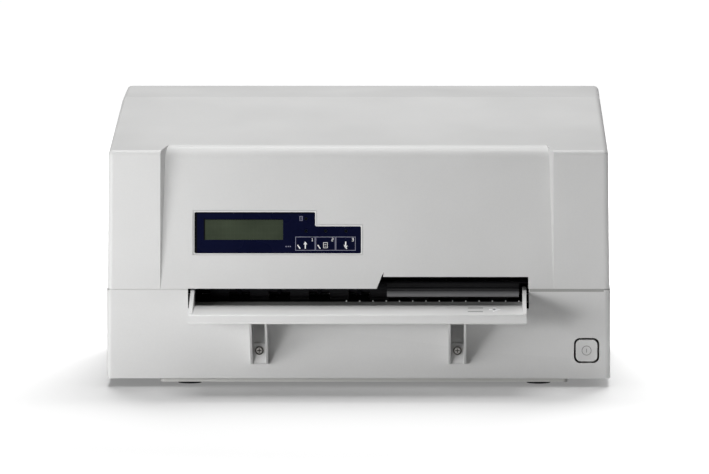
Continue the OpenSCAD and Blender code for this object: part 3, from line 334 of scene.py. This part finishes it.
WELD_MM = 0.002
SHARP_ANGLE = math.radians(35)          # an edge that turns by more than this is softened
EDGE_SEGMENTS = 2
EDGE_WIDTH_MM = {
    "upper_cover": 0.5,
    "lower_casing": 0.5,
    "front_table": 1.0,
    "table_brackets": 0.3,
    "power_button": 0.5,
    "ribbon_cassette": 0.5,
    "ribbon_knob": 0.3,
    "platen_bar": 0.3,
    "power_supply": 0.3,
    "mains_inlet": 0.3,
}


def soften_edges(cad, width_mm):
    """Small bevel on the sharp edges of a CAD part, as modifiers that leave its mesh as it is."""
    weld = cad.modifiers.new("weld", "WELD")
    weld.merge_threshold = WELD_MM * MM
    bevel = cad.modifiers.new("edges", "BEVEL")
    bevel.width = width_mm * MM
    bevel.segments = EDGE_SEGMENTS
    bevel.limit_method = "ANGLE"
    bevel.angle_limit = SHARP_ANGLE
    bevel.use_clamp_overlap = True
    bevel.harden_normals = True


for node_name, edge_width in EDGE_WIDTH_MM.items():
    soften_edges(nodes[node_name], edge_width)

# ---------- building blocks for marks ----------
# A mark is drawn on a plane, in millimetres. place(u, v, w) maps a point of it to the frame: u and v
# lie in the plane and w is the height above it.

INK_MM = 0.04                           # thickness of a printed mark
RING_STEPS = 40
CORNER_STEPS = 6


def mesh_piece(name, build, material_slot, body, material=None):
    """Makes a mesh piece with build(bm), gives it its finish and lets it ride on a body."""
    mesh = bpy.data.meshes.new(name)
    bm = bmesh.new()
    build(bm)
    bmesh.ops.recalc_face_normals(bm, faces=bm.faces)
    bm.to_mesh(mesh)
    bm.free()
    piece = bpy.data.objects.new(name, mesh)
    bpy.context.scene.collection.objects.link(piece)
    mesh.materials.append(material or materials[material_slot])
    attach(piece, body)


def prism(bm, outline, place, thickness=INK_MM):
    """A plate with the given outline."""
    low, high = ([bm.verts.new(place(u, v, w)) for u, v in outline] for w in (0, thickness))
    bm.faces.new(low)
    bm.faces.new(list(reversed(high)))
    count = len(outline)
    for i in range(count):
        j = (i + 1) % count
        bm.faces.new([low[i], high[i], high[j], low[j]])


def bar(bm, start, end, width, place, thickness=INK_MM):
    """A straight line between two points."""
    run = Vector((end[0] - start[0], end[1] - start[1]))
    side = Vector((-run.y, run.x)).normalized() * (width / 2)
    corners = [
        (start[0] + side.x, start[1] + side.y),
        (end[0] + side.x, end[1] + side.y),
        (end[0] - side.x, end[1] - side.y),
        (start[0] - side.x, start[1] - side.y),
    ]
    prism(bm, corners, place, thickness)


def tube(bm, outlines, place):
    """A closed tube through outlines that have as many points each, given with their heights."""
    rows = [[bm.verts.new(place(u, v, w)) for u, v in outline] for outline, w in outlines]
    for row, following in zip(rows, rows[1:] + rows[:1]):
        for i in range(len(row)):
            j = (i + 1) % len(row)
            bm.faces.new([row[i], row[j], following[j], following[i]])


def band(bm, outer, inner, place, thickness=INK_MM):
    """A closed band between two outlines."""
    tube(bm, [(outer, 0), (outer, thickness), (inner, thickness), (inner, 0)], place)


def circle(radius):
    angles = [2 * math.pi * i / RING_STEPS for i in range(RING_STEPS)]
    return [(radius * math.cos(angle), radius * math.sin(angle)) for angle in angles]


def ring(bm, radius, width, place, thickness=INK_MM):
    """A ring of printed line round the plane's origin."""
    band(bm, circle(radius + width / 2), circle(radius - width / 2), place, thickness)


def rectangle(bm, left, bottom, right, top, width, place):
    """The outline of a rectangle in printed line."""
    outer, inner = (
        [
            (left - grow, bottom - grow),
            (right + grow, bottom - grow),
            (right + grow, top + grow),
            (left - grow, top + grow),
        ]
        for grow in (width / 2, -width / 2)
    )
    band(bm, outer, inner, place)


def rounded_outline(corners, radius, inset):
    """Points round a right-angled outline, given counter-clockwise, moved inward and with round corners."""
    points = []
    for i, corner in enumerate(map(Vector, corners)):
        before = (corner - Vector(corners[i - 1])).normalized()
        after = (Vector(corners[(i + 1) % len(corners)]) - corner).normalized()
        convex = before.x * after.y - before.y * after.x > 0
        centre = corner + (after - before) * (radius + (inset if convex else -inset))
        for k in range(CORNER_STEPS + 1):
            angle = math.pi / 2 * k / CORNER_STEPS
            points.append(centre + (before * math.sin(angle) - after * math.cos(angle)) * radius)
    return points


white_ink = ink("white_ink", (0.95, 0.95, 0.96), mottle=0.02)
line_ink = ink("line_ink", (0.30, 0.30, 0.40))
# dark steel for the painted shade on the bracket screws
painted_shade_steel = sheet_metal("painted_shade_steel", (0.07, 0.068, 0.065), roughness=0.5)
# near-black ink for the painted shadow strips in the foil's pocket
painted_shadow_ink = ink("painted_shadow_ink", (0.001, 0.001, 0.002), mottle=0.0, level=0.1)
# colour of the painted shade in the seam between cover and casing
step_shade = ink("step_shade", (0.36, 0.36, 0.35), roughness=0.6)
grey_ink = ink("grey_ink", (0.26, 0.26, 0.26))

# ---------- marks on the control panel ----------


def panel_place():
    """Maps millimetres on the leaning foil to the frame: u to the right, v up the panel, w outward."""
    press = next(j for j in frame["joints"] if j["name"] == "key_left_press")["axis"]
    into = Vector(press).normalized()
    up = Vector((1, 0, 0)).cross(into)
    low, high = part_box("panel_foil")
    # the box's lowest corner belongs to the foil's back, and the front edge lies a little above it
    thickness = (high - low).dot(into)  # close to the foil's own
    corner = Vector((low.x, low.y, low.z - thickness * into.z))

    def place(u, v, w):
        return corner + Vector((u * MM, 0, 0)) + up * (v * MM) - into * (w * MM)

    return place


on_foil = panel_place()


def on_panel_mm(point):
    """Place of a frame point on the foil, in millimetres right of and above its lower left corner."""
    origin, right, up = on_foil(0, 0, 0), on_foil(1, 0, 0), on_foil(0, 1, 0)
    offset = Vector(point) - origin
    return offset.dot(right - origin) / MM / MM, offset.dot(up - origin) / MM / MM


KEY_SIDES = ("left", "middle", "right")
KEY_BOTTOM_MM = 3.2
KEY_HEIGHT_MM = 10.4
KEY_INSET_MM = 0.15                     # from the key's edge to the middle of its frame line
THIN_LINE_MM = 0.34
# heights and distances on a key start at its lower edge
STROKE_FROM_MM = {"left": 1.6, "middle": 1.6, "right": 6.4}     # upper end of the slanted stroke
STROKE_RUN_MM = 2.0
STROKE_HEIGHTS_MM = (1.3, 4.2)
STROKE_WIDTH_MM = 0.8
ARROW_HEIGHTS_MM = (1.4, 6.8)
ARROW_WIDTH_MM = 0.85                   # width of the arrow's shaft
HEAD_LENGTH_MM = 2.2
HEAD_HALF_MM = 1.45                     # half the width of its head
SHEET_HALF_MM = 1.5                     # half the width of the sheet
SHEET_HEIGHTS_MM = (2.0, 6.0)
TEXT_HEIGHT_MM = 3.3                    # the lower line of text on the sheet
TEXT_PITCH_MM = 1.3
TEXT_HALF_MM = 0.8
TEXT_WIDTH_MM = 0.3
DIGIT_FROM_RIGHT_MM = 2.7
DIGIT_BOTTOM_MM = 7.2
DIGIT_UNIT_MM = 1.1
# strokes of each key's digit on a grid one unit wide and two high
DIGIT_STROKES = {
    "left": [((0.2, 1.6), (0.5, 2)), ((0.5, 2), (0.5, 0)), ((0.1, 0), (0.9, 0))],
    "middle": [((0, 2), (1, 2)), ((1, 2), (1, 1)), ((1, 1), (0, 1)), ((0, 1), (0, 0)), ((0, 0), (1, 0))],
    "right": [((0, 2), (1, 2)), ((1, 2), (1, 0)), ((0.2, 1), (1, 1)), ((1, 0), (0, 0))],
}


def sheet_sign(bm, middle, bottom):
    """A sheet with two lines of text."""
    low, high = (bottom + height for height in SHEET_HEIGHTS_MM)
    rectangle(bm, middle - SHEET_HALF_MM, low, middle + SHEET_HALF_MM, high, THIN_LINE_MM, on_foil)
    for row in range(2):
        v = bottom + TEXT_HEIGHT_MM + row * TEXT_PITCH_MM
        bar(bm, (middle - TEXT_HALF_MM, v), (middle + TEXT_HALF_MM, v), TEXT_WIDTH_MM, on_foil)


def arrow_sign(bm, middle, tail, tip):
    """An arrow up or down the key."""
    length = math.copysign(HEAD_LENGTH_MM, tip - tail)
    base = tip - length
    bar(bm, (middle, tail), (middle, tip - length / 2), ARROW_WIDTH_MM, on_foil)
    prism(bm, [(middle - HEAD_HALF_MM, base), (middle + HEAD_HALF_MM, base), (middle, tip)], on_foil)


def digit(bm, strokes, left, bottom):
    for stroke in strokes:
        start, end = ((left + u * DIGIT_UNIT_MM, bottom + v * DIGIT_UNIT_MM) for u, v in stroke)
        bar(bm, start, end, THIN_LINE_MM, on_foil)


def key_marks(side):
    """A dim frame, and in bright ink a digit, a slanted stroke, and an arrow or a sheet."""
    left, right = (on_panel_mm(corner)[0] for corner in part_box(f"key_{side}"))
    middle = (left + right) / 2
    bottom, top = KEY_BOTTOM_MM, KEY_BOTTOM_MM + KEY_HEIGHT_MM

    def frame_lines(bm):
        inset = KEY_INSET_MM
        rectangle(bm, left + inset, bottom + inset, right - inset, top - inset, THIN_LINE_MM, on_foil)

    def signs(bm):
        low, high = (bottom + height for height in ARROW_HEIGHTS_MM)
        if side == "middle":
            sheet_sign(bm, middle, bottom)
        elif side == "left":
            arrow_sign(bm, middle, tail=low, tip=high)
        else:
            arrow_sign(bm, middle, tail=high, tip=low)
        upper_end = left + STROKE_FROM_MM[side]
        low, high = (bottom + height for height in STROKE_HEIGHTS_MM)
        bar(bm, (upper_end + STROKE_RUN_MM, low), (upper_end, high), STROKE_WIDTH_MM, on_foil)
        digit(bm, DIGIT_STROKES[side], right - DIGIT_FROM_RIGHT_MM, bottom + DIGIT_BOTTOM_MM)

    mesh_piece(f"key_frame_{side}", frame_lines, "foil", f"{side}_key", line_ink)
    mesh_piece(f"key_print_{side}", signs, "foil", f"{side}_key", white_ink)


for key_side in KEY_SIDES:
    key_marks(key_side)

# places on the foil, from its lower left corner
LENS_SHEET_MM = (81.2, 26.0, 83.4, 29.2)        # left, bottom, right and top of the sheet by the top lens
LENS_SHEET_LINE_MM = 0.3
LENS_TEXT_HEIGHTS_MM = (28.0, 27.1)
LENS_TEXT_MARGIN_MM = 0.6
LENS_TEXT_WIDTH_MM = 0.25
SQUARES_FROM_MM = (70.5, 6.2)
SQUARES = 3
SQUARE_MM = 0.8


def foil_marks(bm):
    """A sheet symbol beside the top lens and a row of small squares beside the keys."""
    left, bottom, right, top = LENS_SHEET_MM
    margin = LENS_TEXT_MARGIN_MM
    rectangle(bm, left, bottom, right, top, LENS_SHEET_LINE_MM, on_foil)
    for v in LENS_TEXT_HEIGHTS_MM:
        bar(bm, (left + margin, v), (right - margin, v), LENS_TEXT_WIDTH_MM, on_foil)
    first, v = SQUARES_FROM_MM
    for column in range(SQUARES):
        u = first + column * 2 * SQUARE_MM
        bar(bm, (u, v), (u + SQUARE_MM, v), SQUARE_MM, on_foil)


mesh_piece("foil_marks", foil_marks, "foil", "cover", line_ink)

FOIL_MM = (129.0, 33.4)
FOIL_STEP_MM = (94.0, 22.6)             # inner corner of the step in the foil's upper edge
POCKET_MM = 0.7                         # depth of the foil under the panel's face
RIM_MM = 1.0                            # width of the sloping rim inside the pocket
RIM_HEIGHT_MM = POCKET_MM * 0.7
RIM_RADIUS_MM = 1.2
POCKET_RADIUS_MM = 0.1


def foil_rim(bm):
    """Sloping rim between the panel's face and the foil at the bottom of its pocket."""
    width, height = FOIL_MM
    step_u, step_v = FOIL_STEP_MM
    corners = [(0, 0), (width, 0), (width, step_v), (step_u, step_v), (step_u, height), (0, height)]
    outer = rounded_outline(corners, POCKET_RADIUS_MM, inset=0)
    inner = rounded_outline(corners, RIM_RADIUS_MM, inset=RIM_MM)
    tube(bm, [(outer, RIM_HEIGHT_MM), (inner, INK_MM), (outer, INK_MM)], on_foil)


mesh_piece("foil_rim", foil_rim, "shell_plastic", "cover")

SHADOW_STRIP_MM = 2.0                         # width of the painted shadow on the foil's left edge
SHADOW_STRIP_INK_MM = INK_MM / 2
display_low, display_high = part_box("display_window")


def foil_painted_shadow(bm):
    """Painted shadow: near-black strips on the foil's left and upper edge and on the left and upper side of the
    display, where the walls of their pockets would shade them.
    """
    half, quarter = SHADOW_STRIP_MM / 2, SHADOW_STRIP_MM / 4
    top = FOIL_MM[1] - RIM_MM
    left, upper = RIM_MM + half, top - quarter
    near, far = on_panel_mm(display_low), on_panel_mm(display_high)
    beside, above = near[0] - half / 2, far[1] + half / 4
    bar(bm, (left, RIM_MM), (left, top), SHADOW_STRIP_MM, on_foil, SHADOW_STRIP_INK_MM)
    bar(bm, (left, upper), (FOIL_STEP_MM[0] - RIM_MM, upper), half, on_foil, SHADOW_STRIP_INK_MM)
    bar(bm, (beside, near[1]), (beside, far[1] + half), half, on_foil, SHADOW_STRIP_INK_MM)
    bar(bm, (near[0], above), (far[0], above), quarter, on_foil, SHADOW_STRIP_INK_MM)


mesh_piece("foil_painted_shadow", foil_painted_shadow, "foil", "cover", painted_shadow_ink)

# ---------- marks and painted shade on the casing ---

BUTTON_HOLLOW_MM = 0.32
POWER_RADIUS_MM = 3.5
POWER_RING_MM = 0.42                    # width of the sign's ring
POWER_BAR_MM = 0.45                     # width of its upright bar
POWER_BAR_HALF_MM = 1.5                 # half the bar's length
POWER_RAISED_MM = 0.12
button_low, button_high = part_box("power_button")


def button_symbol(bm):
    """A ring with an upright bar, the usual sign for power, on the hollow face of the button."""
    centre = ((button_low.x + button_high.x) / 2, (button_low.z + button_high.z) / 2)

    def place(u, v, w):
        return Vector((centre[0] + u * MM, button_low.y + (BUTTON_HOLLOW_MM - w) * MM, centre[1] + v * MM))

    ring(bm, POWER_RADIUS_MM, POWER_RING_MM, place, POWER_RAISED_MM)
    bar(bm, (0, -POWER_BAR_HALF_MM), (0, POWER_BAR_HALF_MM), POWER_BAR_MM, place, POWER_RAISED_MM)


mesh_piece("button_symbol", button_symbol, "shell_plastic", "button", grey_ink)

casing_low, casing_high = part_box("lower_casing")
table_low, table_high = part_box("front_table")
hinge_low, hinge_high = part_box("hinge_pins")
SEAM_Z = (hinge_low.z + hinge_high.z) / 2       # the hinge's axis is level with the seam
SEAM_MM = 2.2                           # height of the painted shade strip under the cover's edge
SEAM_START_MM = 2.5                     # where it starts, right of the table
SEAM_END_MM = 5.0                       # where it ends, before the casing's corner


def painted_seam_shade(bm):
    """Painted shade: a darker strip on the casing for the shaded step between the cover and the casing, from the
    slot to the right corner.
    """

    def place(u, v, w):
        return Vector((u * MM, casing_low.y - w * MM, SEAM_Z + v * MM))

    start = table_high.x / MM + SEAM_START_MM
    end = casing_high.x / MM - SEAM_END_MM
    bar(bm, (start, -SEAM_MM / 2), (end, -SEAM_MM / 2), SEAM_MM, place)


mesh_piece("painted_seam_shade", painted_seam_shade, "shell_plastic", "base", step_shade)

guide_low, guide_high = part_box("lower_guide_plate")
DECK_Z = guide_high.z + 0.5 * MM        # the table's deck lies a little above the guide plate
RULES_MM = (22.0, 46.0)                 # how far behind the table's front edge the rules lie
RULE_ENDS_MM = (44.5, 33.0)             # left of the table's right edge, as are the arrow's places below
RULE_WIDTH_MM = 5.0
ARROW_MIDDLE_MM = 36.0                  # behind the table's front edge
ARROW_SHAFT_MM = (28.5, 23.5)
ARROW_SHAFT_WIDTH_MM = 9.0
ARROW_BASE_MM, ARROW_TIP_MM = 25.5, 19.5
ARROW_HALF_MM = 16.0                    # half the width of its head


def on_deck(u, v, w):
    """Millimetres from the front right corner of the deck: u to the left, v to the rear, w up."""
    return Vector((table_high.x - u * MM, table_low.y + v * MM, DECK_Z + w * MM))


def table_rules(bm):
    left, right = RULE_ENDS_MM
    for v in RULES_MM:
        bar(bm, (left, v), (right, v), RULE_WIDTH_MM, on_deck)


def table_arrow(bm):
    """Wide arrow that points to the table's right edge."""
    middle = ARROW_MIDDLE_MM
    left, right = ARROW_SHAFT_MM
    base = ARROW_BASE_MM
    bar(bm, (left, middle), (right, middle), ARROW_SHAFT_WIDTH_MM, on_deck)
    head = [(base, middle - ARROW_HALF_MM), (ARROW_TIP_MM, middle), (base, middle + ARROW_HALF_MM)]
    prism(bm, head, on_deck)


mesh_piece("table_rules", table_rules, "shell_plastic", "base", grey_ink)
mesh_piece("table_arrow", table_arrow, "shell_plastic", "base", white_ink)

screw_low, screw_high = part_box("bracket_screws")
SCREW_RADIUS = (screw_high.z - screw_low.z) / 2
# shares of the head's radius, for the painted shade on its rounding and its cross recess
ROUNDING_AT, ROUNDING_WIDTH = 0.82, 0.3
CROSS_HALF, CROSS_WIDTH = 0.5, 0.2


def screw_painted_shade(bm):
    """Painted shade on each bracket screw: a dark cross where its recess is and a dark ring on the rounding of its
    head.
    """
    radius = SCREW_RADIUS / MM
    half, width = radius * CROSS_HALF, radius * CROSS_WIDTH
    for x in (screw_low.x + SCREW_RADIUS, screw_high.x - SCREW_RADIUS):

        def place(u, v, w):
            return Vector((x + u * MM, screw_low.y - w * MM, screw_low.z + SCREW_RADIUS + v * MM))

        ring(bm, radius * ROUNDING_AT, radius * ROUNDING_WIDTH, place)
        bar(bm, (-half, 0), (half, 0), width, place)
        bar(bm, (0, -half), (0, half), width, place)


mesh_piece("screw_painted_shade", screw_painted_shade, "shaft_steel", "base", painted_shade_steel)

TICK_PITCH_MM = 10.16                   # four characters at 10 to the inch
TICKS = 14
FIRST_TICK_X = -9.6 * MM
TICK_FROM_MM, TICK_TO_MM = 4.0, 9.0     # behind the guide plate's front edge
TICK_WIDTH_MM = 1.0
TICK_RAISED_MM = 0.7


def scale_ticks(bm):
    """Raised scale marks on the guide plate, one for every four columns."""

    def place(u, v, w):
        return Vector((FIRST_TICK_X + u * MM, guide_low.y + v * MM, guide_high.z + w * MM))

    for i in range(TICKS):
        u = i * TICK_PITCH_MM
        bar(bm, (u, TICK_FROM_MM), (u, TICK_TO_MM), TICK_WIDTH_MM, place, TICK_RAISED_MM)


mesh_piece("scale_ticks", scale_ticks, "black_steel", "base", white_ink)

# ---------- camera ----------

IMAGE_WIDTH = 709
FOCAL_PX = 9606
SENSOR_MM = 36
FARTHEST = 100                          # metres that the camera sees
CAMERA_AT = (0.0977, -7.386, 0.8866)
YAW, PITCH, ROLL = math.radians(-0.792), math.radians(6.053), math.radians(-0.058)


def add_camera():
    """A distant camera that looks forward, down by the pitch and aside by the yaw."""
    data = bpy.data.cameras.new("camera")
    data.sensor_width = SENSOR_MM
    data.lens = FOCAL_PX * SENSOR_MM / IMAGE_WIDTH
    data.clip_end = FARTHEST
    camera = bpy.data.objects.new("camera", data)
    bpy.context.scene.collection.objects.link(camera)
    forward = Vector((math.sin(YAW) * math.cos(PITCH), math.cos(YAW) * math.cos(PITCH), -math.sin(PITCH)))
    level = Vector((math.cos(YAW), -math.sin(YAW), 0))
    upward = level.cross(forward)
    right = level * math.cos(ROLL) + upward * math.sin(ROLL)
    top = right.cross(forward)
    rotation = Matrix((right, top, -forward)).transposed()
    camera.matrix_world = Matrix.Translation(CAMERA_AT) @ rotation.to_4x4()
    bpy.context.scene.camera = camera


add_camera()

# ---------- floor, surrounding light and lamps ----------

FLOOR_HALF = 12.0
FLOOR_COLOUR = 0.36
FLOOR_SEEN = 0.325      # the floor as the camera sees it, so that it is white where nothing shades it
SHADOW_LIFT = 0.235     # keeps the core of the shadow a middle grey
WHITE_FROM = 0.50       # metres from the printer's middle: beyond the shadow the floor turns plain white
WHITE_AT = 0.95
WORLD_LIGHT = 0.02


def light_path(add, first_kind, second_kind):
    """1 on rays of either kind, such as Is Camera Ray, and 0 on the others."""
    path = add("ShaderNodeLightPath").outputs
    return calculated(add, "MAXIMUM", path[first_kind], path[second_kind])


def floor_material():
    """Pale floor that keeps the printer's soft shadow and is plain white farther out."""
    material = bpy.data.materials.new("floor")
    material.use_nodes = True
    tree = material.node_tree
    tree.nodes.clear()
    add = node_adder(tree)
    seen = light_path(add, "Is Camera Ray", "Is Glossy Ray")
    distance = add("ShaderNodeVectorMath", {0: object_coordinates(add)}, operation="LENGTH").outputs["Value"]
    far = ramp(add, distance, WHITE_FROM, WHITE_AT, 0, 1, "SMOOTHSTEP")
    matt = add("ShaderNodeBsdfDiffuse", {"Color": ramp(add, seen, 0, 1, FLOOR_COLOUR, FLOOR_SEEN)})
    lift = ramp(add, far, 0, 1, SHADOW_LIFT, 1)
    glow = add("ShaderNodeEmission", {"Strength": calculated(add, "MULTIPLY", seen, lift)})
    both = add("ShaderNodeAddShader", {0: matt.outputs[0], 1: glow.outputs[0]})
    add("ShaderNodeOutputMaterial", {"Surface": both.outputs[0]})
    return material


def add_floor():
    mesh = bpy.data.meshes.new("floor")
    corners = [(sx * FLOOR_HALF, sy * FLOOR_HALF, 0) for sx, sy in ((-1, -1), (1, -1), (1, 1), (-1, 1))]
    mesh.from_pydata(corners, [], [(0, 1, 2, 3)])
    mesh.materials.append(floor_material())
    floor = bpy.data.objects.new("floor", mesh)
    bpy.context.scene.collection.objects.link(floor)
    return floor


def add_world():
    """Low even light all round, and plain white wherever a camera or clear ray sees it."""
    world = bpy.data.worlds.new("world")
    bpy.context.scene.world = world
    world.use_nodes = True
    tree = world.node_tree
    add = node_adder(tree)
    seen = light_path(add, "Is Camera Ray", "Is Transmission Ray")
    background = tree.nodes["Background"].inputs
    connect(tree, ramp(add, seen, 0, 1, WORLD_LIGHT, 1), background["Strength"])
    connect(tree, (1, 1, 1, 1), background["Color"])


def add_lamp(name, place, target, watts, size, lights_floor=False, glossy=True):
    """A soft box that lights either the printer or the floor."""
    data = bpy.data.lights.new(name, "AREA")
    data.energy = watts
    data.shape = "RECTANGLE"
    data.size, data.size_y = size
    lamp = bpy.data.objects.new(name, data)
    bpy.context.scene.collection.objects.link(lamp)
    direction = Vector(target) - Vector(place)
    lamp.matrix_world = Matrix.Translation(place) @ direction.to_track_quat("-Z", "Y").to_matrix().to_4x4()
    lamp.visible_glossy = glossy
    receivers = bpy.data.collections.new(f"{name}_receivers")
    receivers.objects.link(floor)
    lamp.light_linking.receiver_collection = receivers
    receivers.collection_objects[0].light_linking.link_state = "INCLUDE" if lights_floor else "EXCLUDE"


floor = add_floor()
add_world()

# the printer: even light from above, and a key from the left that fades towards the right
add_lamp("roof_box", place=(-0.06, 0.18, 1.5), target=(0, 0, 0.10), watts=19.0, size=(0.8, 0.8))
add_lamp(
    "side_key", place=(-0.36, -0.92, 0.13), target=(0, -0.05, 0.08), watts=2.4, size=(0.2, 0.15), glossy=False
)
add_lamp("left_box", place=(-0.62, -0.60, 0.10), target=(0, -0.05, 0.06), watts=2.7, size=(0.4, 0.3))

# the floor: a large box behind the printer throws the soft shadow to the front
FLOOR_LAMP = {"target": (0, 0, 0), "lights_floor": True}
add_lamp("floor_rear", place=(0.05, 1.0, 1.05), watts=101, size=(1.2, 1.25), **FLOOR_LAMP)
add_lamp("floor_top", place=(0, 0, 1.8), watts=27, size=(1.0, 1.0), **FLOOR_LAMP)
add_lamp("floor_right", place=(1.6, 0.2, 0.8), watts=14, size=(1.0, 1.0), **FLOOR_LAMP)
add_lamp("floor_front", place=(0, -1.6, 1.0), watts=4, size=(1.0, 1.0), **FLOOR_LAMP)

scene = bpy.context.scene
scene.view_settings.view_transform = "Standard"
